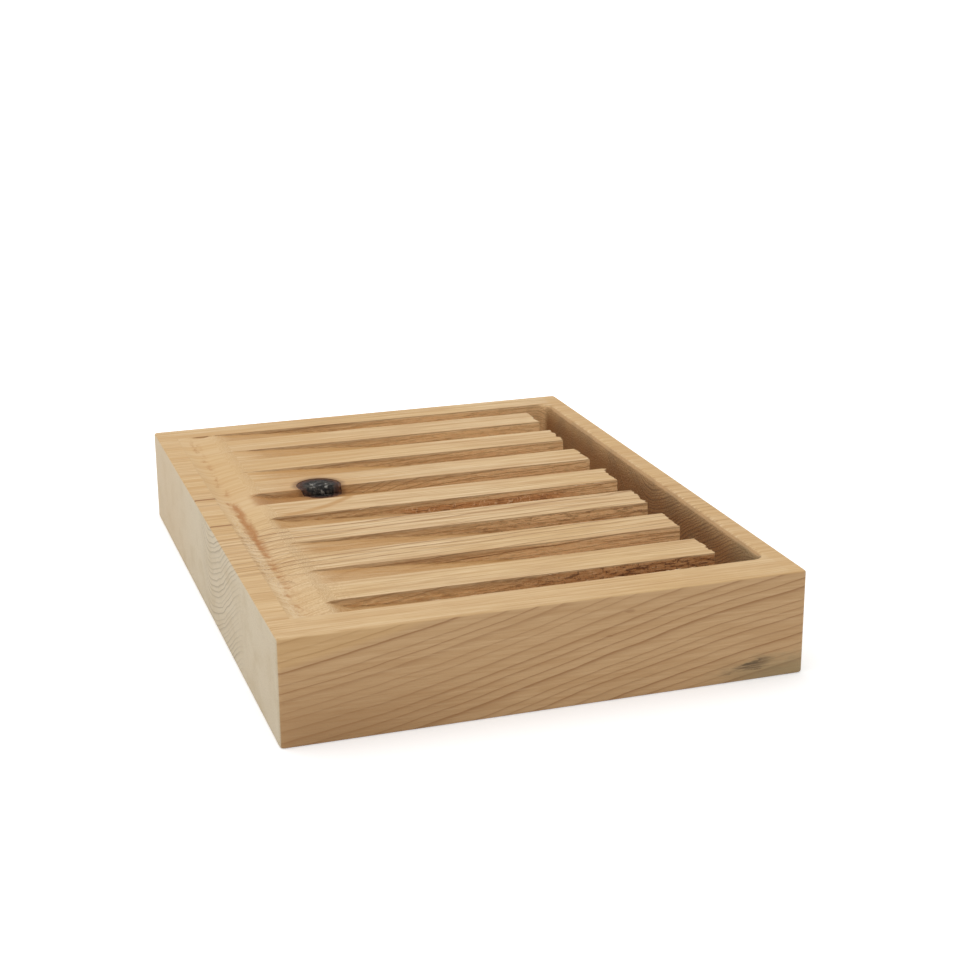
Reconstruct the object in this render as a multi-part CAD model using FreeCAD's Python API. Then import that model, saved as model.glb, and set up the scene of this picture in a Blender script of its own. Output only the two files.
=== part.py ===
"""Slatted soap dish, milled from one softwood board that holds a dead knot.

X runs along the ribs and the grain, Y from front to back, Z up. The origin is the middle of the underside.
"""
import FreeCAD, Part
import math
import os

# Driving dimensions along X, in millimetres, from the left face to the right face
left_rim = 4.6
groove_setback = 6.5
groove_length = 79.6
channel_width = 7.9
right_rim = 4.4

# Driving dimensions along Y, from the front face to the back face
front_rim = 8.85
end_groove_width = 6.1
groove_width = 7.6
rib_width = 8.95
rib_count = 7
back_rim = 7.2

# Driving dimensions along Z, from the underside up
floor_thickness = 11.0
channel_step = 4.0
groove_fall = 5.4
groove_start_depth = 0.6
end_groove_start_depth = 1.6

# The shallow gutter beside the left rim: a short cove, then a long ramp up to the ribs
gutter_depth = 1.6
cove_width = 3.6
cove_sag = 0.5
ramp_width = 6.1
ramp_bulge = 0.25

# Rounding left by the cutter and by sanding
pocket_corner_radius = 3.6
arris_radius = 0.5

# The dead knot, placed from the left end of the grooves and from the front edge of the rib it crosses
knot_radius = 4.2
bark_thickness = 0.7
knot_from_groove_end = 16.7
knot_from_rib_edge = 1.9
knot_rib = 4
knot_taper_share = 0.03
knot_lean_along = math.radians(15)
knot_lean_across = math.radians(19)

# How far every cutting shape runs past the wood that it cuts
overrun = 1.0

# Sizes that follow from the values above
rib_pitch = rib_width + groove_width
ribs_span = rib_count * rib_pitch - groove_width
pocket_length = ribs_span + 2 * end_groove_width
board_length = front_rim + pocket_length + back_rim
board_width = left_rim + groove_setback + groove_length + channel_width + right_rim
groove_end_depth = groove_start_depth + groove_fall
channel_depth = groove_end_depth + channel_step
board_thickness = floor_thickness + channel_depth

left_face = -board_width / 2
front_face = -board_length / 2
pocket_left = left_face + left_rim
pocket_right = -left_face - right_rim
pocket_front = front_face + front_rim
pocket_back = pocket_front + pocket_length
groove_left = pocket_left + groove_setback
ribs_right = groove_left + groove_length
first_rib_front = pocket_front + end_groove_width
above_top = board_thickness + overrun


def box_between(low, high):
    """Box from its lowest corner to its highest corner."""
    size = high - low
    return Part.makeBox(size.x, size.y, size.z, low)


def upright_edges(shape):
    """Edges that stand along Z."""
    return [edge for edge in shape.Edges if abs(edge.tangentAt(edge.FirstParameter).z) == 1]


def bowed_edge(start, end, bow):
    """Arc in the XZ plane from start to end, whose middle stands off the chord by bow."""
    chord = end - start
    across = FreeCAD.Vector(-chord.z, 0, chord.x).normalize()
    middle = (start + end) * 0.5 + across * bow
    return Part.Arc(start, middle, end).toShape()


def board():
    """The planed board, with its sharp edges sanded off."""
    corner = FreeCAD.Vector(left_face, front_face, 0)
    blank = Part.makeBox(board_width, board_length, board_thickness, corner)
    return blank.makeFillet(arris_radius, blank.Edges)


def pocket_outline():
    """Upright prism inside the rims, with the corners that a round cutter leaves."""
    low = FreeCAD.Vector(pocket_left, pocket_front, floor_thickness)
    high = FreeCAD.Vector(pocket_right, pocket_back, above_top)
    prism = box_between(low, high)
    return prism.makeFillet(pocket_corner_radius, upright_edges(prism))


def cross_channel():
    """Deep channel along the right rim, into which all the grooves empty."""
    low = FreeCAD.Vector(ribs_right, pocket_front, floor_thickness)
    high = FreeCAD.Vector(pocket_right, pocket_back, above_top)
    return pocket_outline().common(box_between(low, high))


def left_gutter():
    """Shallow gutter along the left rim: steep cove on the rim side, bulging ramp on the rib side."""
    rim_edge = FreeCAD.Vector(pocket_left, pocket_front, board_thickness)
    bottom = rim_edge + FreeCAD.Vector(cove_width, 0, -gutter_depth)
    crest = rim_edge + FreeCAD.Vector(cove_width + ramp_width, 0, 0)
    lift = FreeCAD.Vector(0, 0, overrun)
    outline = Part.Wire([
        bowed_edge(rim_edge, bottom, -cove_sag),
        bowed_edge(bottom, crest, ramp_bulge),
        Part.LineSegment(crest, crest + lift).toShape(),
        Part.LineSegment(crest + lift, rim_edge + lift).toShape(),
        Part.LineSegment(rim_edge + lift, rim_edge).toShape(),
    ])
    prism = Part.Face(outline).extrude(FreeCAD.Vector(0, pocket_length, 0))
    return prism.common(pocket_outline())


def groove(front, width, start_depth):
    """One groove, round at its left end, whose floor falls to the right until it meets the channel."""
    run_out = channel_width / 2
    fall_share = (groove_end_depth - start_depth) / groove_length
    right = ribs_right + run_out
    top_left = FreeCAD.Vector(groove_left, front, above_top)
    floor_left = FreeCAD.Vector(groove_left, front, board_thickness - start_depth)
    floor_right = FreeCAD.Vector(right, front, board_thickness - groove_end_depth - run_out * fall_share)
    top_right = FreeCAD.Vector(right, front, above_top)
    side = Part.Face(Part.makePolygon([top_left, floor_left, floor_right, top_right, top_left]))
    wedge = side.extrude(FreeCAD.Vector(0, width, 0))
    radius = width / 2
    centre = FreeCAD.Vector(groove_left + radius, front + radius, floor_thickness)
    reach = above_top - floor_thickness
    round_end = Part.makeCylinder(radius, reach, centre)
    corner = FreeCAD.Vector(centre.x, front, floor_thickness)
    straight = Part.makeBox(right - centre.x, width, reach, corner)
    return wedge.common(round_end.fuse(straight))


def grooves():
    """The narrow first groove, one shallower groove behind each rib but the last, and the narrow last groove."""
    cuts = [groove(pocket_front, end_groove_width, end_groove_start_depth)]
    for rib in range(rib_count - 1):
        cuts.append(groove(first_rib_front + rib * rib_pitch + rib_width, groove_width, groove_start_depth))
    cuts.append(groove(pocket_back - end_groove_width, end_groove_width, end_groove_start_depth))
    return cuts


def milled_board():
    """The board after all the cutting, still without the hole that the knot fills."""
    return board().cut(cross_channel()).cut(left_gutter()).cut(grooves()).removeSplitter()


def branch(radius):
    """Tapered branch right through the board, whose axis meets the top at the knot's place with this radius."""
    x = groove_left + knot_from_groove_end
    y = first_rib_front + knot_rib * rib_pitch + knot_from_rib_edge
    meets_top = FreeCAD.Vector(x, y, board_thickness)
    down = FreeCAD.Vector(math.tan(knot_lean_along), math.tan(knot_lean_across), -1).normalize()
    lead = radius + overrun
    length = 2 * lead + board_thickness / abs(down.z)
    start_radius = radius - lead * knot_taper_share
    end_radius = start_radius + length * knot_taper_share
    return Part.makeCone(start_radius, end_radius, length, meets_top - down * lead, down)


def save(node, shape):
    """Write the node's one solid, and print what it measures."""
    solid = shape.Solids[0]
    box = solid.optimalBoundingBox(True, False)
    print(node, "solids", len(shape.Solids), "valid", solid.isValid(), "volume", round(solid.Volume, 2))
    print("  size", round(box.XLength, 3), round(box.YLength, 3), round(box.ZLength, 3))
    solid.exportStep(os.path.join("parts", node + ".step"))


os.makedirs("parts", exist_ok=True)
milled = milled_board()
knot_cone = branch(knot_radius)
bark_cone = branch(knot_radius + bark_thickness)
save("milled_block", milled.cut(bark_cone))
save("bark_collar", milled.common(bark_cone.cut(knot_cone)))
save("dead_knot", milled.common(knot_cone))
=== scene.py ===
import math

import bpy
import numpy as np
from mathutils import Matrix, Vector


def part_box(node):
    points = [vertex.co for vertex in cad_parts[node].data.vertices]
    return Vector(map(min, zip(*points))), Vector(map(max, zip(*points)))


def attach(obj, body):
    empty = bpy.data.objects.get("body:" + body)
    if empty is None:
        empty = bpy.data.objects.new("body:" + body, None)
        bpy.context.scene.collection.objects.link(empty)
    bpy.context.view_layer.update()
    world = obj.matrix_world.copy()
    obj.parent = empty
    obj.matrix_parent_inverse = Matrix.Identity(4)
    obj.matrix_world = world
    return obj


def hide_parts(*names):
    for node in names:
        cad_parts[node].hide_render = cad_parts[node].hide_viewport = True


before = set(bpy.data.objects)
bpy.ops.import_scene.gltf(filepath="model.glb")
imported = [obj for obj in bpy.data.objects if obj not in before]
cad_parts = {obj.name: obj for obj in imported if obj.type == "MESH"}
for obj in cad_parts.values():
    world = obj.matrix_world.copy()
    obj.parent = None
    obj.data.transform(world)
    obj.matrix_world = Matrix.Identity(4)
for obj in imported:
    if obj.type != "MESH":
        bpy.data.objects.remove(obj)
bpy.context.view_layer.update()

# Milled block: one planed softwood board, with a deep channel, grooves and a shallow gutter cut in its top.
# It is sawn along the grain, so X runs along the fibres. The cutter left torn walls and chipped rib ends,
# while the top and the outside are sanded smooth and their edges are broken by hand.
mm = 0.001
low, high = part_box("milled_block")
left_face, front_face = low.x / mm, low.y / mm
right_face, back_face, top = high.x / mm, high.y / mm, high.z / mm
left_rim, right_rim, front_rim, back_rim = 4.6, 4.4, 8.85, 7.2
pocket_left, pocket_right = left_face + left_rim, right_face - right_rim
pocket_front, pocket_back = front_face + front_rim, back_face - back_rim
groove_setback, groove_length = 6.5, 79.6
groove_left = pocket_left + groove_setback
ribs_right = groove_left + groove_length
end_groove_width, groove_width, rib_width, rib_count = 6.1, 7.6, 8.95, 7
rib_pitch = rib_width + groove_width
first_rib_front = pocket_front + end_groove_width
groove_starts = (1.7, 0.3, 0.25, 1.1, 1.2, 0.1, 0.05, 0.3)
groove_end_depth, groove_lead, groove_fall_power = 6.0, 7.0, 1.5
channel_depth = 10.0
gutter_depth, gutter_run_out, gutter_back_share = 1.25, 40.0, 0.3
cove_width, cove_sag, ramp_width, ramp_bow = 3.6, 0.3, 6.1, 0.25
ramp_crest = pocket_left + cove_width + ramp_width
corner_radius, arris, wall_draft, upright_radius = 3.6, 0.5, 0.12, 0.4
rib_end_tear, rib_end_chip, rib_foot_share = 0.3, 0.6, 0.25
splinter_y, splinter_length, splinter_width = 4.8, 0.9, 0.4
wall_tear, wall_fray, edge_chip, floor_chatter, sanding_wave = 0.1, 0.06, 0.5, 0.12, 0.02
wall_shares = np.array([0, 0.02, 0.08, 0.17, 0.28, 0.42, 0.6, 0.8, 0.97, 1.0])


def eased(start, end, steps):
    """Places from start to end on half a cosine wave, so that they crowd together at both ends."""
    return start + (end - start) * (1 - np.cos(np.pi * np.linspace(0, 1, steps + 1))) / 2


def rough(u, v, seed):
    """Random field from -1 to 1: random heights at whole numbers of u and v, with smooth steps between."""
    table = np.random.default_rng(seed).uniform(-1, 1, (256, 256))
    i, j = np.floor(u).astype(int), np.floor(v).astype(int)
    a, b = u - i, v - j
    a, b = a * a * (3 - 2 * a), b * b * (3 - 2 * b)
    near = table[i % 256, j % 256] * (1 - a) + table[(i + 1) % 256, j % 256] * a
    far = table[i % 256, (j + 1) % 256] * (1 - a) + table[(i + 1) % 256, (j + 1) % 256] * a
    return near * (1 - b) + far * b


def rows_across():
    """Rows of the top from front to back, with five values each.

    They are its place, its share of the way down its groove, its share inside the pocket, how far the
    groove's round end reaches there, and the groove's start depth. A rib or a rim is a run of rows at
    share 0, and a wall is a run from 0 to 1. A groove floor is a run at 1 whose places follow the sine
    of an even turn, so that the half round end of the groove comes out smooth.
    """
    runs = []

    def add(places, share, within, chord, start):
        runs.append([np.broadcast_to(part, places.shape) for part in (places, share, within, chord, start)])

    add(eased(front_face + arris, pocket_front, 10)[:-1], 0, 0, 0, 0)
    front = pocket_front
    for number, start in enumerate(groove_starts):
        first, last = number == 0, number == rib_count
        width = end_groove_width if first or last else groove_width
        half = width / 2
        turn = np.linspace(-np.pi / 2, np.pi / 2, 11)[1:-1]
        floor = front + half + (half - wall_draft) * np.sin(turn)
        for places, share in ((front + wall_draft * wall_shares, wall_shares),
                              (floor, np.ones(floor.shape)),
                              (front + width - wall_draft * wall_shares[::-1], wall_shares[::-1])):
            outer = first and places[0] == front or last and places[-1] == front + width
            chord = np.sqrt(np.maximum(half ** 2 - (places - front - half) ** 2, 0))
            add(places, share, share if outer else 1, chord, start)
        if not last:
            add(np.linspace(front + width, front + width + rib_width, 22)[1:-1], 0, 1, 0, 0)
        front += width + rib_width
    add(eased(pocket_back, back_face - arris, 10)[1:], 0, 0, 0, 0)
    return np.concatenate(runs, axis=1)


def gutter_drop(x, y, edge):
    """How far the gutter lies below the top: a hollow cove down from the rim's edge, then a bowed ramp up.

    It grows shallower towards the back, by a smooth step over the gutter's run-out.
    """
    cove = np.clip((x - edge) / cove_width, 0, 1)
    ramp = np.clip((x - edge - cove_width) / (ramp_crest - edge - cove_width), 0, 1)
    drop = gutter_depth * (cove - ramp) + cove_sag * 4 * cove * (1 - cove) - ramp_bow * 4 * ramp * (1 - ramp)
    share = np.clip((pocket_back - y) / gutter_run_out, 0, 1)
    full = share * share * (3 - 2 * share)
    return np.maximum(drop, 0) * (gutter_back_share + (1 - gutter_back_share) * full)


def groove_depth(x, start):
    """Depth of a groove: it feathers in to its start depth, and falls by a power of the way along it."""
    run = np.maximum(x - groove_left, 0)
    lead = np.minimum(run / groove_lead, 1)
    fall = (run / groove_length) ** groove_fall_power
    return start * lead * lead * (3 - 2 * lead) + (groove_end_depth - start) * fall


def carved_top():
    """Top of the block as a grid of stations along X by rows along Y.

    Each station lies between two lines that follow the cutter's path in plan: the rim's edge, the round
    ends of the grooves, the torn ends of the ribs, their cleaner feet and the channel's far wall. Its
    height is the top less the deepest cut there.
    """
    y, down, inside, chord, start = rows_across()
    within = np.clip(np.minimum(y - pocket_front, pocket_back - y), 0, corner_radius)
    inset = corner_radius - np.sqrt(corner_radius ** 2 - (corner_radius - within) ** 2)
    half = np.interp(y, [first_rib_front, first_rib_front + rib_width,
                         pocket_back - end_groove_width - rib_width, pocket_back - end_groove_width],
                     [end_groove_width / 2, groove_width / 2, groove_width / 2, end_groove_width / 2])
    flat = np.zeros_like(y)
    ragged = rib_end_tear * rough(y / 0.42, flat, 11)
    ragged = ragged + rib_end_chip * np.minimum(rough(y / 1.5, flat, 12) + 0.2, 0)
    ragged = ragged + splinter_length * np.exp(-((y - splinter_y) / splinter_width) ** 2)
    lines = [flat + left_face + arris, pocket_left + inset, groove_left + half - chord,
             ribs_right + ragged, pocket_right - inset, flat + right_face - arris,
             ribs_right + rib_foot_share * ragged + wall_draft]
    steps = np.array([0, 0.03, 0.12, 0.3, 0.55, 0.8, 0.97, 1.0])

    def run(a, b, shares, start=0.0, end=0.0):
        """Stations between two lines, at shares of the way, set off from them by start and end."""
        shares = np.asarray(shares)[:, None]
        return (lines[a] + start) * (1 - shares) + (lines[b] + end) * shares

    draft = wall_draft
    soft_edge = np.array([-0.115, -0.1, -0.06, 0.0, 0.12, 0.3, 0.6, 1.1])
    soft_open = np.array([0.97, 0.7, 0.3, 0.11, 0.07, 0.035, 0.012, 0.0])
    long_run = np.concatenate([np.linspace(0, 0.985, 128), eased(0.985, 1, 8)[1:]])
    parts = [
        (run(0, 1, eased(0, 1, 8)), 0, 0),
        (run(1, 2, eased(0, 1, 26)[1:]), 0, 0),
        (run(2, 2, steps[1:], 0, draft), steps[1:], 0),
        (run(2, 3, long_run[1:], draft), 1, 0),
        (run(3, 6, steps[1:] ** 0.5), 1, steps[1:]),
        (run(6, 4, eased(0, 1, 10)[1:], 0, -draft), 1, 1),
        (lines[4] + soft_edge[:, None], soft_open, soft_open),
        (run(4, 5, eased(0, 1, 8)[1:], soft_edge[-1]), 0, 0),
    ]
    x = np.concatenate([part[0] for part in parts])
    groove_open = np.concatenate([np.broadcast_to(part[1], len(part[0])) for part in parts])[:, None]
    channel_open = np.concatenate([np.broadcast_to(part[2], len(part[0])) for part in parts])[:, None]
    y = np.broadcast_to(y, x.shape)
    groove = groove_depth(x, start) * groove_open * down
    gutter = gutter_drop(x, y, pocket_left + inset) * inside
    channel = channel_depth * channel_open * inside
    drop = np.maximum(np.maximum(groove, gutter), channel)
    wall = (down > 0) & (down < 1) & (groove_open > 0.5) & (channel_open < 0.5)
    layer = 40 * np.floor(y / 4)
    torn = wall_tear * rough(x / 1.3, drop / 0.5 + layer, 21)
    torn = torn + wall_fray * rough(x / 0.45, drop / 0.3 + layer, 22)
    first_wall = np.exp(-(y - first_rib_front) ** 2)
    fourth_wall = np.exp(-(y - first_rib_front - 3 * rib_pitch) ** 2)
    torn = torn * (0.7 + 0.9 * first_wall + 0.6 * fourth_wall)
    chip = np.clip(rough(x / 0.9, layer, 23) - 0.62, 0, 1) * ((down > 0) & (down < 0.2))
    drop = drop + edge_chip * chip * groove_open * (1 - channel_open) * np.clip(groove, 0, 1)
    y = y + np.where(wall, torn * np.minimum(drop / 0.6, 1), 0)
    floor = (down == 1) & (channel_open < 0.5)
    chatter = floor_chatter * rough(x / 1.1, y / 0.8, 24) * np.minimum(groove / 1.5, 1)
    drop = drop + np.where(floor, chatter, 0)
    drop = drop + sanding_wave * (1 + rough(x / 9, y / 2.5, 31))
    return np.stack([x, y, top - np.maximum(drop, 0)], -1)


def block_skin():
    """The carved top, closed by a skirt: its border is carried round the edges, down the sides and under it.

    Every point of the border moves outwards as the sine of the edge's turn and down as one less the cosine.
    The underside is a fan from the middle.
    """
    grid = carved_top()
    stations, rows = grid.shape[:2]
    middle = np.array([(left_face + right_face) / 2, (front_face + back_face) / 2])
    half = np.array([right_face - left_face, back_face - front_face]) / 2 - arris - upright_radius
    past = (np.abs(grid[..., :2] - middle) - half) / upright_radius
    bent = np.clip(past, 0, 1)
    rounded = np.where((past > 0).all(-1, keepdims=True), bent * np.sqrt(1 - bent[..., ::-1] ** 2 / 2), past)
    way = np.sign(grid[..., :2] - middle)
    grid[..., :2] = middle + way * (half + rounded * upright_radius)
    index = np.arange(stations * rows).reshape(stations, rows)
    border = np.concatenate([index[:-1, 0], index[-1, :-1], index[:0:-1, -1], index[0, :0:-1]])
    points = grid.reshape(-1, 3)
    base = points[border]
    outward = (way * np.maximum(rounded, 0)).reshape(-1, 2)[border]
    side = np.abs(base[:, :2] - middle) > half + upright_radius - 1e-6
    outward = np.where(side.any(1, keepdims=True), way.reshape(-1, 2)[border] * side, outward)
    outward = outward / np.linalg.norm(outward, axis=1, keepdims=True)
    turn = np.linspace(0, np.pi / 2, 5)[1:]
    reach = np.concatenate([np.sin(turn), np.ones(2), np.cos(turn), [-0.6]]) * arris
    height = np.concatenate([top - arris * (1 - np.cos(turn)), eased(top - arris, arris, 2)[1:],
                             arris * (1 - np.sin(turn)), [0.0]])
    rings = np.zeros((len(reach), len(border), 3))
    rings[..., :2] = base[None, :, :2] + reach[:, None, None] * outward
    rings[..., 2] = np.minimum(height[:, None], base[None, :, 2])
    top_faces = np.stack([index[:-1, :-1], index[1:, :-1], index[1:, 1:], index[:-1, 1:]], -1).reshape(-1, 4)
    ring_index = len(points) + np.arange(len(rings) * len(border)).reshape(len(rings), len(border))
    loops = np.concatenate([border[None], ring_index])
    vertices = np.concatenate([points, rings.reshape(-1, 3), [[*middle, 0.0]]])
    return vertices, top_faces.tolist() + skirt_faces(loops, len(vertices) - 1)


def skirt_faces(loops, hub):
    """Faces between closed loops that lie one under the other, and a fan from the last loop to a hub."""
    after = np.roll(loops, -1, axis=1)
    sides = np.stack([loops[:-1], loops[1:], after[1:], after[:-1]], -1).reshape(-1, 4)
    fan = np.stack([loops[-1], np.full(loops.shape[1], hub), after[-1]], -1)
    return sides.tolist() + fan.tolist()


def mesh_piece(name, vertices, faces, material):
    """Object at the origin whose mesh has these corners, in millimetres, and these faces, shaded smooth."""
    mesh = bpy.data.meshes.new(name)
    mesh.from_pydata((np.asarray(vertices) * mm).tolist(), [], faces)
    mesh.shade_smooth()
    mesh.materials.append(material)
    piece = bpy.data.objects.new(name, mesh)
    bpy.context.scene.collection.objects.link(piece)
    return piece


def paint(red, green, blue):
    """Linear colour of a paint chip read from 0 to 255."""
    chip = np.array([red, green, blue]) / 255
    linear = np.where(chip <= 0.04045, chip / 12.92, ((chip + 0.055) / 1.055) ** 2.4)
    return (*linear.tolist(), 1.0)


class Graph:
    """A material's node tree, in which fields that vary over the piece are written as formulas."""

    def __init__(self, name):
        self.material = bpy.data.materials.new(name)
        self.material.use_nodes = True
        self.nodes = self.material.node_tree.nodes
        self.links = self.material.node_tree.links
        self.shader = self.nodes["Principled BSDF"]
        position = self.node("ShaderNodeTexCoord").outputs["Object"]
        self.place = self.vector("SCALE", position, scale=1 / mm)
        split = self.node("ShaderNodeSeparateXYZ", self.place)
        self.x, self.y, self.z = (Field(self, socket) for socket in split.outputs)

    def node(self, kind, *inputs, **settings):
        """A node with these settings, whose sockets in order take these values or join these sockets."""
        new = self.nodes.new(kind)
        for name, value in settings.items():
            setattr(new, name, value)
        for socket, value in zip(new.inputs, inputs):
            self.feed(socket, value)
        return new

    def feed(self, socket, value):
        """Give a socket a value, or join it to a field or to another socket."""
        if isinstance(value, Field):
            value = value.socket
        if isinstance(value, bpy.types.NodeSocket):
            self.links.new(value, socket)
        elif value is not None:
            socket.default_value = value

    def vector(self, operation, first, second=None, scale=None):
        """Result of a vector sum, product or scaling."""
        new = self.node("ShaderNodeVectorMath", first, second, operation=operation)
        if scale is not None:
            new.inputs["Scale"].default_value = scale
        return new.outputs[0]

    def math(self, operation, *terms):
        """A field worked out from other fields and numbers."""
        return Field(self, self.node("ShaderNodeMath", *terms, operation=operation).outputs[0])

    def larger(self, first, second):
        """The larger of two fields at each place."""
        return self.math("MAXIMUM", first, second)

    def combine(self, x, y, z):
        """Vector with these three fields."""
        return self.node("ShaderNodeCombineXYZ", x, y, z).outputs[0]

    def noise(self, vector, scales=(1, 1, 1), detail=2.0, roughness=0.5):
        """Cloudy field about 0.5 whose cells are 1/scales millimetres long."""
        stretched = self.vector("MULTIPLY", vector, scales)
        new = self.node("ShaderNodeTexNoise", noise_dimensions="3D")
        self.feed(new.inputs["Vector"], stretched)
        new.inputs["Scale"].default_value = 1.0
        new.inputs["Detail"].default_value = detail
        new.inputs["Roughness"].default_value = roughness
        return Field(self, new.outputs["Fac"])

    def random(self, number):
        """Random field from 0 to 1, the same wherever the number is the same."""
        new = self.node("ShaderNodeTexWhiteNoise", noise_dimensions="1D")
        self.feed(new.inputs["W"], number)
        return Field(self, new.outputs["Value"])

    def step(self, field, start, end, low=0.0, high=1.0):
        """Smooth step of a field: low before start, high after end."""
        new = self.node("ShaderNodeMapRange", field, start, end, low, high, interpolation_type="SMOOTHSTEP")
        return Field(self, new.outputs[0])

    def band(self, field, centre, half, soft):
        """1 where a field is within half of a centre, falling to 0 over a soft edge."""
        return self.step(self.math("ABSOLUTE", field - centre), half + soft, half)

    def blend(self, share, first, second):
        """Colour between first and second by a share from 0 to 1."""
        new = self.node("ShaderNodeMix", data_type="RGBA", clamp_factor=True)
        self.feed(new.inputs[0], share)
        self.feed(new.inputs[6], first)
        self.feed(new.inputs[7], second)
        return new.outputs[2]

    def bump(self, height, distance, strength=1.0, under=None):
        """Surface direction after a relief of this height, laid over another relief."""
        new = self.node("ShaderNodeBump")
        new.inputs["Distance"].default_value = distance
        new.inputs["Strength"].default_value = strength
        self.feed(new.inputs["Height"], height)
        self.feed(new.inputs["Normal"], under)
        return new.outputs[0]


class Field:
    """A number that varies over a piece. Sums and products of fields become nodes of the material."""

    def __init__(self, graph, socket):
        self.graph, self.socket = graph, socket

    def __add__(self, other):
        return self.graph.math("ADD", self, other)

    def __sub__(self, other):
        return self.graph.math("SUBTRACT", self, other)

    def __mul__(self, other):
        return self.graph.math("MULTIPLY", self, other)

    def __truediv__(self, other):
        return self.graph.math("DIVIDE", self, other)

    def __pow__(self, other):
        return self.graph.math("POWER", self, other)

    __radd__ = __add__
    __rmul__ = __mul__

    def __rsub__(self, other):
        return self.graph.math("SUBTRACT", other, self)


knot_rib, knot_from_groove_end, knot_from_rib_edge = 4, 16.7, 1.9
knot_wall = first_rib_front + knot_rib * rib_pitch
knot_x, knot_y = groove_left + knot_from_groove_end, knot_wall + knot_from_rib_edge
knot_radius, bark_thickness, knot_taper = 4.2, 0.7, 0.03
lean_x, lean_y = math.tan(math.radians(15)), math.tan(math.radians(19))
ring_spacing, front_ring_spacing, knot_bulge = 1.2, 1.9, 6.0
sweep_height, sweep_y, sweep_length, back_rise = 11.5, -24.0, 18.5, 0.9


def from_branch(graph):
    """Distance from the axis of the leaning branch: the root of the two squares across it at that height."""
    drop = top - graph.z
    across = (graph.x - knot_x - lean_x * drop) ** 2.0
    return graph.math("SQRT", across + (graph.y - knot_y - lean_y * drop) ** 2.0)


def growth_rings(graph):
    """Broad, narrow and doubled latewood lines at a place, how steep the sheet is, and how near the knot.

    The rings are sheets stacked one spacing apart, wider near the front. A sheet sweeps up in an S from
    the middle of the board to its front and rises again towards the back. It climbs to the right, most
    of all near the front, and bulges round the knot. Slow noise makes it wander.
    """
    x, y, z, place = graph.x, graph.y, graph.z, graph.place
    turn = graph.math("TANH", (y - sweep_y) / sweep_length)
    sweep = sweep_height - sweep_height * turn + back_rise * graph.math("SMOOTH_MAX", y + 1.0, 0.0, 6.0)
    climb = graph.step(y, -34.0, -68.0, 0.035, 0.22)
    along = x + 4.0 * graph.math("SINE", x * (2 * math.pi / (right_face - left_face)))
    knot_way = ((x - knot_x) * 0.6) ** 2.0 + (y - knot_y + 1.5) ** 2.0
    near_knot = graph.math("EXPONENT", knot_way * (-1 / 90))
    wander = 1.6 * graph.noise(place, (0.011, 0.045, 0.045), 2.0)
    wander = wander + 0.9 * graph.noise(place, (0.07, 0.2, 0.2), 3.0)
    spacing = graph.step(y, -48.0, -66.0, ring_spacing, front_ring_spacing)
    phase = (z - sweep - along * climb + knot_bulge * near_knot + wander) / spacing
    phase = phase + 1.5 * graph.noise(graph.combine(phase * 0.5, 3.0, 7.0), (1, 1, 1), 1.0)
    ring = graph.math("FLOOR", phase)
    share = phase - ring
    weight = 0.45 + 0.55 * graph.random(ring)
    fall = graph.step(share, 1.0, 0.95) * weight
    doubled = graph.step(graph.math("PINGPONG", phase * 1.5, 0.5), 0.24, 0.46)
    return (graph.step(share, 0.5, 0.9) * fall, graph.step(share, 0.74, 0.93) * fall, doubled,
            1.0 - turn * turn, near_knot)


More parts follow.
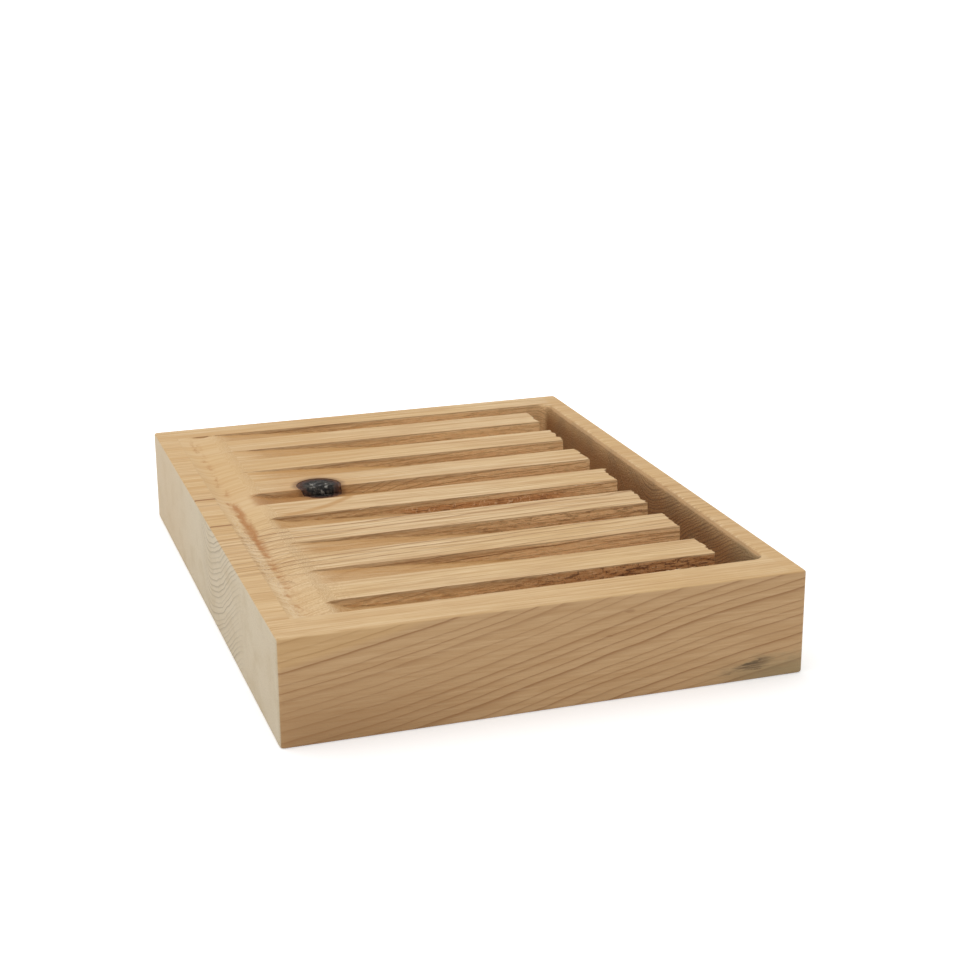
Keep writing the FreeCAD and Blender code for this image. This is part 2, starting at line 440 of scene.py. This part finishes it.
def softwood(name):
    """Sanded softwood with its growth rings, end grain, torn milled walls, gutter burn and a grey stain."""
    graph = Graph(name)
    x, y, z, place = graph.x, graph.y, graph.z, graph.place
    facing = graph.node("ShaderNodeSeparateXYZ", graph.node("ShaderNodeTexCoord").outputs["Normal"])
    facing_x, facing_z = Field(graph, facing.outputs["X"]), Field(graph, facing.outputs["Z"])
    end_grain = graph.step(graph.math("ABSOLUTE", facing_x), 0.6, 0.9)
    upward = graph.step(facing_z, 0.4, 0.85)
    late, line, doubled, tilt, near_knot = growth_rings(graph)
    depth = top - z
    soft = 0.2
    pocket = graph.step(x, pocket_left - soft, pocket_left)
    pocket = pocket * graph.step(x, pocket_right + soft, pocket_right)
    pocket = pocket * graph.step(y, pocket_front - soft, pocket_front)
    pocket = pocket * graph.step(y, pocket_back + soft, pocket_back)
    milled = pocket * graph.step(depth, 0.1, 0.4)
    gutter = pocket * graph.step(x, groove_left + 4.0, groove_left + 1.0)
    straight = graph.combine(x, y, z * (1.0 - gutter))
    fibre = graph.noise(straight, (0.12, 3.2, 3.2), 3.0, 0.6)
    hair = graph.noise(straight, (0.035, 2.4, 2.4), 3.0, 0.6)
    thread = graph.noise(straight, (0.03, 0.7, 0.7), 3.0, 0.55)
    cloud = graph.noise(place, (0.018, 0.05, 0.06), 2.0)
    streaks = graph.noise(straight, (0.05, 1.1, 1.1), 3.0, 0.65)
    bold = graph.larger(graph.step(tilt, 0.38, 0.68), (0.06 + 0.4 * near_knot) * (1.0 - gutter))

    # Sanded top: pale earlywood, latewood lines where the sheets stand steep, then streaks and fine fibres
    early = graph.blend(graph.step(cloud, 0.4, 0.65), paint(216, 185, 140), paint(212, 178, 127))
    plain = 1.0 - 0.8 * gutter * graph.step(y, -6.0, 4.0)
    face = graph.blend(graph.step(thread, 0.48, 0.68) * graph.step(y, -30.0, 20.0, 0.35, 0.8) * plain, early,
                       paint(196, 153, 101))
    face = graph.blend((0.25 * late + 0.75 * line) * bold, face, paint(140, 92, 46))
    face = graph.blend(graph.step(streaks, 0.5, 0.64) * 0.45 * plain, face, paint(182, 140, 92))
    face = graph.blend(graph.step(streaks, 0.46, 0.34) * 0.5 * plain, face, paint(232, 206, 164))
    face = graph.blend(graph.step(hair, 0.5, 0.68) * 0.6 * plain, face, paint(178, 136, 88))
    face = graph.blend(graph.step(hair, 0.48, 0.3) * 0.45 * plain, face, paint(232, 208, 168))
    face = graph.blend(graph.step(fibre, 0.48, 0.72) * 0.55 * plain, face, paint(184, 144, 96))
    front_strip = graph.step(y, pocket_front + 1.0, pocket_front - 1.0)
    right_strip = graph.step(x, pocket_right, pocket_right + 1.5)
    golden = graph.step(y, -8.0, 20.0) * graph.step(x, 15.0, -25.0)
    golden = golden * (0.3 + 1.1 * graph.step(thread, 0.38, 0.66))
    golden = graph.larger(golden, 0.5 * graph.step(x, pocket_left + 0.4, pocket_left - 0.4))
    golden = graph.larger(golden, graph.larger(0.6 * front_strip, right_strip))
    face = graph.blend(golden * 0.5, face, paint(202, 162, 108))
    floor = pocket * (1.0 - gutter) * graph.step(depth, 0.03, 0.5)
    face = graph.blend(floor * (0.3 + 0.6 * thread), face, paint(192, 140, 78))
    beside_knot = graph.band(y, knot_y - 5.4, 3.6, 0.6) * graph.step(x, groove_left, groove_left + 2.0)
    beside_knot = beside_knot * graph.step(x, knot_x + 14.0, knot_x)
    face = graph.blend(beside_knot * (0.5 + 0.5 * hair), face, paint(174, 124, 72))
    curve = graph.band(y - 0.028 * (x - knot_x + 12.0) ** 2.0, -2.6, 0.4, 1.2)
    curve = curve * graph.step(x, knot_x - 14.0, knot_x - 10.0) * graph.step(x, knot_x + 7.0, knot_x + 4.0)
    face = graph.blend(curve * 0.6, face, paint(180, 128, 62))
    rim_line = graph.band(y, 12.8, 0.35, 0.3) + 0.4 * graph.band(y, 8.7, 0.2, 0.3)
    rim_line = rim_line + graph.band(y, -5.3, 0.3, 0.3)
    rim_line = rim_line * graph.step(x, pocket_left + 0.6, pocket_left - 0.2)
    face = graph.blend(rim_line * 0.85, face, paint(150, 102, 54))
    speck = graph.noise(place, (2.6, 2.6, 2.6), 2.0, 0.6)
    fuzz = graph.band(x, -38.5, 4.0, 2.5) * graph.step(y, -18.0, -34.0) * pocket
    face = graph.blend(fuzz * graph.step(speck, 0.5, 0.68) * 0.3, face, paint(174, 132, 86))
    face = graph.blend(fuzz * graph.step(speck, 0.46, 0.3) * 0.2, face, paint(234, 212, 174))

    # Outer sides: darker, with a pale wedge of sapwood, a grey water stain and two small nicks on the front
    side = graph.blend(graph.step(thread, 0.45, 0.7) * 0.5, paint(198, 161, 117), paint(184, 144, 99))
    side = graph.blend(line * 0.45 + late * 0.3, side, paint(140, 94, 52))
    side = graph.blend(graph.step(fibre, 0.45, 0.75) * 0.4, side, paint(176, 134, 90))
    side = graph.blend(graph.step(fibre, 0.46, 0.25) * 0.3, side, paint(222, 188, 144))
    outside = graph.step(y, front_face + 0.9, front_face + 0.5)
    low_left = graph.step(x, 5.0, -45.0) * graph.step(z, 16.0, 2.0)
    side = graph.blend(low_left * 0.55, side, paint(162, 122, 80))
    wedge = graph.step(z - 18.0 - (x + 36.6) * 0.2, -0.5, 0.8) * graph.step(x, -19.0, -30.0) * outside
    side = graph.blend(wedge * 0.35, side, paint(216, 176, 118))
    wet = graph.noise(place, (0.2, 0.5, 0.5), 4.0, 0.65)
    stain = graph.step(x, 27.0, 46.0) * graph.step(z + (wet - 0.5) * 7.0, 6.2, 1.6) * outside
    side = graph.blend(stain * 0.6, side, paint(146, 132, 98))
    streak_way = graph.math("ABSOLUTE", z - 2.4 - (x - 36.0) * 0.16 + (wet - 0.5) * 5.0)
    streak = graph.step(streak_way, 1.0, 0.1) * graph.step(x, 33.0, 37.0)
    streak = streak * graph.step(x, 46.0, 41.0) * outside
    side = graph.blend(streak * graph.step(fibre, 0.35, 0.6) * 0.75, side, paint(70, 58, 42))
    nick = graph.step(((x - 15.0) / 1.3) ** 2.0 + ((z - 17.6 + (wet - 0.5)) / 0.4) ** 2.0, 1.0, 0.2)
    nick = nick + graph.step(((x - 11.0) / 0.9) ** 2.0 + ((z - 13.0 + (wet - 0.5)) / 0.3) ** 2.0, 1.0, 0.2)
    side = graph.blend(nick * outside * 0.35, side, paint(140, 96, 58))
    face = graph.blend(upward, side, face)

    # Milled walls: torn most of all at the right of the first groove and on a strip of the fourth rib. Their
    # base colours are painted light: paler than the sanded top, to offset the shade in the grooves
    torn = graph.noise(place, (0.4, 1.4, 2.4), 4.0, 0.72)
    ticks = graph.noise(place, (1.3, 1.2, 1.0), 3.0, 0.7)
    steep = graph.step(facing_z, 0.85, 0.5)
    rightward = graph.step(x, -18.0, 18.0)
    front_wall = graph.step(y, -51.5, -53.0) * rightward
    strip = graph.step(depth, 1.0, 1.5) * graph.step(x, -16.0, -6.0) * graph.step(x, 33.0, 22.0)
    strip = strip * graph.band(y, -7.4, 4.2, 0.4)
    tears = 0.2 + 0.6 * front_wall + 0.4 * strip + 0.3 * rightward * graph.band(y, -20.2, 0.5, 1.0)
    cut = graph.blend(rightward, paint(240, 198, 142), paint(244, 204, 152))
    cut = graph.blend(line * 0.85, cut, paint(146, 96, 52))
    cut = graph.blend(graph.step(hair, 0.5, 0.62) * 0.6, cut, paint(164, 112, 64))
    # Painted light: the back walls, the middle walls and the left of the first wall are painted paler still,
    # to offset their shade
    painted_light_walls = graph.larger(0.5 * graph.step(y, 10.0, 40.0), 0.2 * graph.band(y, -4.0, 18.0, 4.0))
    painted_light_walls = graph.larger(painted_light_walls, 0.4 * graph.step(y, -51.5, -53.0) * (1.0 - rightward))
    cut = graph.blend(painted_light_walls, cut, paint(250, 212, 156))
    cut = graph.blend(front_wall * 0.65, cut, paint(186, 122, 62))
    cut = graph.blend(strip * 0.55, cut, paint(196, 126, 66))
    cut = graph.blend(graph.step(torn, 0.52, 0.6) * tears, cut, paint(104, 64, 34))
    cut = graph.blend(graph.step(torn, 0.42, 0.36) * tears * 0.7, cut, paint(236, 196, 150))
    cut = graph.blend(graph.step(ticks, 0.56, 0.64) * front_wall * 0.7, cut, paint(100, 62, 34))
    cut = graph.blend(graph.step(ticks, 0.56, 0.64) * strip * 0.7, cut, paint(248, 212, 166))
    cut_deep = graph.larger(graph.step(depth, 0.4, 1.6, 0.25, 1.0), rightward)
    cut_deep = milled * (1.0 - 0.9 * gutter) * cut_deep
    face = graph.blend(cut_deep * graph.larger(steep, 0.3 * strip), face, cut)

    # End grain: arcs of rings and open pores, grey outside and browner inside the pocket
    pores = graph.noise(place, (3.5, 3.5, 3.5), 2.0, 0.6)
    blotch = graph.noise(place, (0.2, 0.12, 0.16), 3.0, 0.6)
    arcs = (0.5 * late + 0.5 * line) * (0.05 + 0.75 * graph.step(y, 9.0, 1.0) * graph.step(y, -40.0, -24.0))
    end = graph.blend(arcs, paint(208, 192, 164), paint(146, 126, 98))
    end = graph.blend(graph.step(pores, 0.45, 0.75) * 0.35, end, paint(170, 152, 124))
    end = graph.blend(graph.step(blotch, 0.42, 0.75) * 0.5, end, paint(188, 167, 130))
    inner_end = graph.blend(graph.step(depth, 1.0, 5.0), paint(200, 160, 112), paint(172, 126, 80))
    ringed = doubled * 0.6 * graph.step(y, 26.0, 14.0, 0.2, 1.0) * graph.step(depth, 0.5, 2.2)
    inner_end = graph.blend(ringed, inner_end, paint(112, 76, 46))
    inner_end = graph.blend(graph.step(blotch, 0.45, 0.7) * 0.35, inner_end, paint(150, 124, 90))
    inner_end = graph.blend(graph.step(pores, 0.45, 0.75) * 0.25, inner_end, paint(150, 116, 80))
    inner = graph.step(x, -20.0, 0.0) * graph.step(x, right_face - 1.6, right_face - 2.6)
    end = graph.blend(graph.step(y, 5.0, 50.0) * 0.3, end, paint(202, 168, 120))
    end = graph.blend(inner, end, inner_end)
    colour = graph.blend(end_grain, face, end)
    # Marks of use and of the cutter: damp in the front right corner and burns in the gutter, with pale specks
    # on the cove below the left rim
    corner = graph.step(y, -42.0, -54.0) * graph.step(x, 43.0, 45.5) * milled
    colour = graph.blend(corner * (0.2 + 0.6 * wet), colour, paint(170, 148, 110))
    mould = graph.step(y, -50.0, -56.0) * graph.step(depth + (wet - 0.5) * 4.0, 1.6, 3.4)
    colour = graph.blend(corner * mould * 0.7, colour, paint(84, 70, 52))

    smear = graph.noise(place, (0.5, 0.3, 0.5), 4.0, 0.65)
    pale_cove_specks = graph.band(x, -45.2, 0.7, 0.6) * graph.step(y, 8.0, 0.0) * pocket
    colour = graph.blend(pale_cove_specks * graph.step(speck, 0.42, 0.6) * 0.5, colour, paint(226, 204, 168))
    burn = graph.step(graph.math("ABSOLUTE", x + 43.4 + (smear - 0.5) * 3.4), 1.5, 0.1) * pocket
    often = graph.step(y, -30.0, -8.0, 0.1, 0.34) - graph.step(y, 8.0, 12.0, 0.0, 0.3)
    colour = graph.blend(burn * graph.step(smear + often, 0.5, 0.78) * 0.8, colour, paint(168, 108, 48))

    # Wood round the knot: a broad warm halo and a narrow brown fringe
    reach = graph.math("SQRT", (x - knot_x + 0.5) ** 2.0 + ((y - knot_y - 0.5) * 1.3) ** 2.0)
    halo = graph.step(reach + (thread - 0.5) * 7.0, 13.0, 4.5) * (0.7 - 0.4 * upward)
    colour = graph.blend(halo, colour, paint(184, 132, 74))
    away = from_branch(graph) - knot_taper * depth - (knot_radius + bark_thickness)
    fringe = graph.step(away + (thread - 0.5) * 2.0, 1.5, 0.0)
    colour = graph.blend(fringe * 0.6, colour, paint(112, 72, 44))

    graph.feed(graph.shader.inputs["Base Color"], colour)
    graph.feed(graph.shader.inputs["Roughness"], graph.step(fibre, 0.2, 0.8, 0.52, 0.7))
    grain = graph.bump((hair + fibre) * plain, 0.07 * mm, 0.7)
    lifted = graph.bump(late * bold, 0.06 * mm, 0.5, grain)
    ragged = graph.bump(torn * milled * (1.0 - gutter), 0.5 * mm, 1.0, lifted)
    graph.feed(graph.shader.inputs["Normal"], ragged)
    graph.shader.inputs["Specular IOR Level"].default_value = 0.3
    return graph.material


wood = softwood("sanded_softwood")
block = mesh_piece("milled_softwood_block", *block_skin(), wood)
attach(block, "root")
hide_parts("milled_block")

# Bark collar: the ring of old bark round the dead branch, which shrank from the wood when the board dried.
# It lies a little below the sanded surface, is rough and crumbly, and fills the rest of the block's hole.
bark_recess, bark_overlap, bark_edge_radius, bark_crumb = 0.16, 0.02, 0.2, 0.09
face_margin, bore_margin, bore_sides = 0.01, 2.0, 128


def branch_section(z, radius):
    """Middle and radius of the branch at a height: it leans as it goes down, and widens by its taper."""
    drop = top - z
    return knot_x + lean_x * drop, knot_y + lean_y * drop, radius + knot_taper * drop


def branch_plug(radius, edge_radius, lift, relief, across=48):
    """The branch up to the cut surface of the block, with a face in rows over groove floor, wall and rib.

    Each row is a chord of the branch at that height. The edge of the face is carried down along the lean
    to the underside. The rib's edge is rounded off. The face stands off the wood by lift and relief.
    """
    floor_height = top - groove_depth(knot_x + 0.5, groove_starts[knot_rib])
    middle, reach = branch_section(floor_height, radius)[1:]
    back = eased(knot_wall, knot_y + radius - face_margin, 27)
    rounding = 1 - np.clip((back - knot_wall) / edge_radius, 0, 1)
    heights = [np.full(14, floor_height), np.linspace(floor_height, top - edge_radius, 12)[1:-1],
               top - edge_radius * (1 - np.sqrt(1 - rounding ** 2))]
    places = [eased(middle - reach + face_margin, knot_wall - wall_draft, 13),
              knot_wall - wall_draft * np.linspace(1, 0, 12)[1:-1], back]
    z, y = np.concatenate(heights), np.concatenate(places)
    on_wall = np.repeat([0.0, 1.0, 0.0], [len(part) for part in places])
    x_middle, y_middle, reach = branch_section(z, radius)
    chord = np.sqrt(np.maximum(reach ** 2 - (y - y_middle) ** 2, 1e-4))
    share = np.sin(np.linspace(-np.pi / 2, np.pi / 2, across))
    x = x_middle[:, None] + chord[:, None] * share
    y, z = np.broadcast_to(y[:, None], x.shape), np.broadcast_to(z[:, None], x.shape)
    off = lift + relief(x, y + z)
    face = np.stack([x, y - off * on_wall[:, None], z + off * (1 - on_wall[:, None])], -1)
    index = np.arange(x.size).reshape(x.shape)
    border = np.concatenate([index[0, :-1], index[:-1, -1], index[-1, :0:-1], index[:0:-1, 0]])
    points = face.reshape(-1, 3)
    edge_z = z.reshape(-1)[border]
    x_edge, y_edge, r_edge = branch_section(edge_z, radius)
    x_foot, y_foot, r_foot = branch_section(0.0, radius)
    foot = np.stack([x_foot + (points[border, 0] - x_edge) * r_foot / r_edge,
                     y_foot + (y.reshape(-1)[border] - y_edge) * r_foot / r_edge, np.zeros(len(border))], -1)
    vertices = np.concatenate([points, foot, [[x_foot, y_foot, 0.0]]])
    loops = np.stack([border, len(points) + np.arange(len(border))])
    grid = np.stack([index[:-1, :-1], index[:-1, 1:], index[1:, 1:], index[1:, :-1]], -1).reshape(-1, 4)
    return vertices, grid.tolist() + skirt_faces(loops, len(vertices) - 1)


def take_out(piece, radius):
    """Bore the branch's leaning cone of this radius out of a piece, from above its top to below its foot."""
    turn = np.linspace(0, 2 * np.pi, bore_sides, endpoint=False)
    rings = []
    for z in (top + bore_margin, -bore_margin):
        x_middle, y_middle, reach = branch_section(z, radius)
        circle = [x_middle + reach * np.cos(turn), y_middle + reach * np.sin(turn), np.full(bore_sides, z)]
        rings.append(np.stack(circle, -1))
    ring = np.arange(bore_sides)
    after = np.roll(ring, -1)
    sides = np.stack([ring, ring + bore_sides, after + bore_sides, after], -1)
    faces = sides.tolist() + [ring.tolist(), (ring[::-1] + bore_sides).tolist()]
    cutter = mesh_piece("branch_cutter", np.concatenate(rings), faces, piece.data.materials[0])
    bore = piece.modifiers.new("bore", "BOOLEAN")
    bore.object, bore.operation, bore.solver = cutter, "DIFFERENCE", "MANIFOLD"
    bpy.context.view_layer.update()
    bored = bpy.data.meshes.new_from_object(piece.evaluated_get(bpy.context.evaluated_depsgraph_get()))
    piece.modifiers.clear()
    piece.data = bored
    bored.set_sharp_from_angle(angle=math.radians(50))
    bpy.data.objects.remove(cutter)


def crumbly(u, v):
    """Relief of the bark: a random field whose cells are about half a millimetre."""
    return bark_crumb * rough(u / 0.45, v / 0.45, 41)


def old_bark(name):
    """Dark red-brown bark in crumbs and flakes."""
    graph = Graph(name)
    crumbs = graph.noise(graph.place, (2.4, 2.4, 1.6), 4.0, 0.7)
    flakes = graph.noise(graph.place, (0.9, 0.9, 0.5), 3.0, 0.6)
    colour = graph.blend(graph.step(crumbs, 0.38, 0.66), paint(50, 30, 20), paint(118, 72, 40))
    colour = graph.blend(graph.step(flakes, 0.5, 0.7) * 0.6, colour, paint(38, 24, 20))
    graph.feed(graph.shader.inputs["Base Color"], colour)
    graph.feed(graph.shader.inputs["Roughness"], graph.step(crumbs, 0.3, 0.7, 0.6, 0.85))
    graph.feed(graph.shader.inputs["Normal"], graph.bump(crumbs, 0.3 * mm, 0.9))
    return graph.material


bark_face = branch_plug(knot_radius + bark_thickness + bark_overlap, bark_edge_radius, -bark_recess, crumbly)
collar = mesh_piece("old_bark_collar", *bark_face, old_bark("old_bark"))
take_out(collar, knot_radius)
take_out(block, knot_radius + bark_thickness)
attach(collar, "root")
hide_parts("bark_collar")

# Dead knot: the branch itself, black with resin, cut through by the planer and by the groove beside its rib.
# Its cut face has shallow drying cracks and raised flecks, with a painted grey sheen and pale grey flecks
# that are painted glints, and is browner at the edge, where it meets the bark.
knot_recess, knot_edge_radius, knot_pit, knot_crack = 0.08, 1.6, 0.07, 0.12


def cracked(u, v):
    """Relief of the knot: a random field, less narrow furrows where a wider random field is near zero."""
    furrow = np.clip(1 - np.abs(rough(u / 1.7, v / 1.7, 52)) / 0.12, 0, 1)
    return knot_pit * rough(u / 0.8, v / 0.8, 51) - knot_crack * furrow


def resin_knot(name):
    """Black resinous wood with a painted grey sheen and pale grey flecks in its middle that are painted
    glints, browner towards its edge.
    """
    graph = Graph(name)
    out = from_branch(graph) / knot_radius
    grain = graph.noise(graph.place, (1.3, 1.3, 0.5), 4.0, 0.65)
    fleck_relief_and_painted_glint = graph.noise(graph.place, (0.9, 0.9, 0.9), 3.0, 0.6)
    fleck_relief_and_painted_glint = graph.step(fleck_relief_and_painted_glint, 0.55, 0.66) * graph.step(out, 0.8, 0.4)
    # Painted sheen and glints: the grey patches and the pale grey flecks stand in for light on the glossy
    # resin
    colour = graph.blend(graph.step(grain, 0.42, 0.66), paint(16, 13, 11), paint(70, 65, 58))
    colour = graph.blend(graph.step(out + (grain - 0.5) * 0.5, 0.7, 1.04), colour, paint(76, 48, 36))
    colour = graph.blend(fleck_relief_and_painted_glint * 0.6, colour, paint(168, 164, 156))
    graph.feed(graph.shader.inputs["Base Color"], colour)
    graph.feed(graph.shader.inputs["Roughness"], graph.step(grain, 0.3, 0.7, 0.45, 0.7))
    relief = graph.bump(grain, 0.25 * mm, 0.8)
    graph.feed(graph.shader.inputs["Normal"], graph.bump(fleck_relief_and_painted_glint, 0.12 * mm, 0.8, relief))
    graph.shader.inputs["Specular IOR Level"].default_value = 0.15
    return graph.material


knot_face = branch_plug(knot_radius, knot_edge_radius, -knot_recess, cracked, across=72)
knot = mesh_piece("dead_branch_knot", *knot_face, resin_knot("resin_knot"))
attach(knot, "root")
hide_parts("dead_knot")

# Torn fibres: thin pale slivers of the block's wood that the cutter lifted along the edges of its grooves.
# They are still held at one end, lie along the grain and lean into the groove beside them.
sliver_count, sliver_rings, sliver_sides = 14, 7, 4
sliver_left, sliver_right = groove_left + 22, ribs_right - 4
edge_weights = np.array([20, 1, 1, 2, 2, 0, 0, 0.0])


def slivers():
    """Thin four-sided slivers along the groove edges: each leaves its edge by the square of the way along it.

    Its width tapers towards both ends as the sine of half a turn, raised to a small power.
    """
    random = np.random.default_rng(61)
    edges = np.concatenate([[pocket_front], first_rib_front + rib_pitch * np.arange(rib_count)])
    inward = np.concatenate([[1.0], -np.ones(rib_count)])
    line = random.choice(len(edges), sliver_count, p=edge_weights / edge_weights.sum())
    x = random.uniform(sliver_left, sliver_right, sliver_count)
    way = np.where(random.random(sliver_count) < 0.5, -1.0, 1.0)
    length = random.uniform(1.0, 3.6, sliver_count)
    width = random.uniform(0.06, 0.14, sliver_count)
    lean = random.uniform(0.05, 0.35, sliver_count)
    sink = random.uniform(0.05, 0.45, sliver_count) * np.where(line == 0, 0.1, 1)
    lean = lean * np.where(line == 0, 2.5, 1)
    share = np.linspace(0, 1, sliver_rings)
    centre = np.stack([x[:, None] + (way * length)[:, None] * share,
                       edges[line][:, None] + (inward[line] * lean)[:, None] * (0.1 + share ** 2),
                       top - 0.15 - sink[:, None] * share ** 2], -1)
    taper = width[:, None] * (0.12 + np.sin(np.pi * (0.12 + 0.88 * share)) ** 0.6)
    turn = np.linspace(0, 2 * np.pi, sliver_sides, endpoint=False)
    ring = np.stack([np.zeros(sliver_sides), np.cos(turn), 0.6 * np.sin(turn)], -1)
    points = centre[:, :, None] + taper[:, :, None, None] * ring
    index = np.arange(points.size // 3).reshape(sliver_count, sliver_rings, sliver_sides)
    after = np.roll(index, -1, axis=2)
    tubes = np.stack([index[:, :-1], after[:, :-1], after[:, 1:], index[:, 1:]], -1)
    ends = np.concatenate([index[:, 0, ::-1], index[:, -1]])
    tubes = np.where((way < 0)[:, None, None, None], tubes[..., ::-1], tubes).reshape(-1, 4)
    ends = np.where((np.concatenate([way, way]) < 0)[:, None], ends[:, ::-1], ends)
    return points.reshape(-1, 3), tubes.tolist() + ends.tolist()


def pale_fibre(name):
    """Bare wood fibre, paler than the sanded face, with fine streaks along it."""
    graph = Graph(name)
    streaks = graph.noise(graph.place, (0.4, 6.0, 6.0), 2.0)
    colour = graph.blend(graph.step(streaks, 0.35, 0.7), paint(240, 216, 178), paint(208, 164, 112))
    graph.feed(graph.shader.inputs["Base Color"], colour)
    graph.feed(graph.shader.inputs["Roughness"], graph.step(streaks, 0.3, 0.7, 0.6, 0.8))
    graph.feed(graph.shader.inputs["Normal"], graph.bump(streaks, 0.03 * mm, 0.5))
    return graph.material


fibres = mesh_piece("torn_fibres", *slivers(), pale_fibre("pale_fibre"))
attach(fibres, "root")
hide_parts("milled_block")

# Floor and light: a pale studio floor that fades to white away from the dish, under one broad overhead lamp.
# The room is white all round, and it shows brighter to the camera than it lights.
floor_graph = Graph("pale_floor")
floor_graph.shader.inputs["Base Color"].default_value = (0.85, 0.85, 0.85, 1)
floor_graph.shader.inputs["Roughness"].default_value = 0.9
floor_graph.shader.inputs["Emission Color"].default_value = (1, 1, 1, 1)
path = floor_graph.node("ShaderNodeLightPath")
seen = floor_graph.larger(path.outputs["Is Camera Ray"], path.outputs["Is Glossy Ray"])
away = floor_graph.math("SQRT", floor_graph.x ** 2.0 + floor_graph.y ** 2.0)
glow = floor_graph.step(away, 90.0, 260.0, 0.35, 1.0)
floor_graph.feed(floor_graph.shader.inputs["Emission Strength"], seen * glow)
floor_half = 4.0
floor_mesh = bpy.data.meshes.new("floor")
corners = [(floor_half * i, floor_half * j, 0) for i, j in ((-1, -1), (1, -1), (1, 1), (-1, 1))]
floor_mesh.from_pydata(corners, [], [(0, 1, 2, 3)])
floor_mesh.materials.append(floor_graph.material)
floor = bpy.data.objects.new("floor", floor_mesh)
bpy.context.scene.collection.objects.link(floor)

world = bpy.data.worlds.new("white_room")
bpy.context.scene.world = world
world.use_nodes = True
sky = world.node_tree.nodes["Background"]
sky.inputs["Color"].default_value = (1, 1, 1, 1)
rays = world.node_tree.nodes.new("ShaderNodeLightPath")
mix = world.node_tree.nodes.new("ShaderNodeMix")
mix.inputs[2].default_value = 0.75
mix.inputs[3].default_value = 1.0
world.node_tree.links.new(rays.outputs["Is Camera Ray"], mix.inputs[0])
world.node_tree.links.new(mix.outputs[0], sky.inputs["Strength"])

lamp = bpy.data.lights.new("overhead_lamp", "AREA")
lamp.shape = "RECTANGLE"
lamp.size, lamp.size_y = 0.9, 0.9
lamp.energy = 3.5
lamp_object = bpy.data.objects.new("overhead_lamp", lamp)
lamp_object.location = (-0.25, 0.15, 0.9)
lamp_object.rotation_euler = (math.radians(-9), math.radians(-15), 0)
bpy.context.scene.collection.objects.link(lamp_object)

# Camera: it stands to the front left and looks down a little, as in the photograph, with a long lens.
# The focal length is in pixels of a picture of this width.
picture_width, focal_length = 960, 1820.153
azimuth, elevation, roll = math.radians(-18.363), math.radians(17.693), math.radians(-0.348)
distance, target = 435.811, np.array([21.099, 37.603, 10.5])
level = math.cos(elevation)
back = np.array([math.sin(azimuth) * level, -math.cos(azimuth) * level, math.sin(elevation)])
right = np.array([math.cos(azimuth), math.sin(azimuth), 0.0])
up = np.cross(back, right)
turned_right = math.cos(roll) * right + math.sin(roll) * up
turned_up = math.cos(roll) * up - math.sin(roll) * right
camera_data = bpy.data.cameras.new("camera")
camera_data.sensor_width = 36.0
camera_data.lens = focal_length / picture_width * camera_data.sensor_width
camera = bpy.data.objects.new("camera", camera_data)
pose = np.eye(4)
pose[:3, 0], pose[:3, 1], pose[:3, 2] = turned_right, turned_up, back
pose[:3, 3] = (target + back * distance) * mm
camera.matrix_world = Matrix(pose.tolist())
bpy.context.scene.collection.objects.link(camera)
bpy.context.scene.camera = camera
bpy.context.scene.view_settings.view_transform = "Standard"
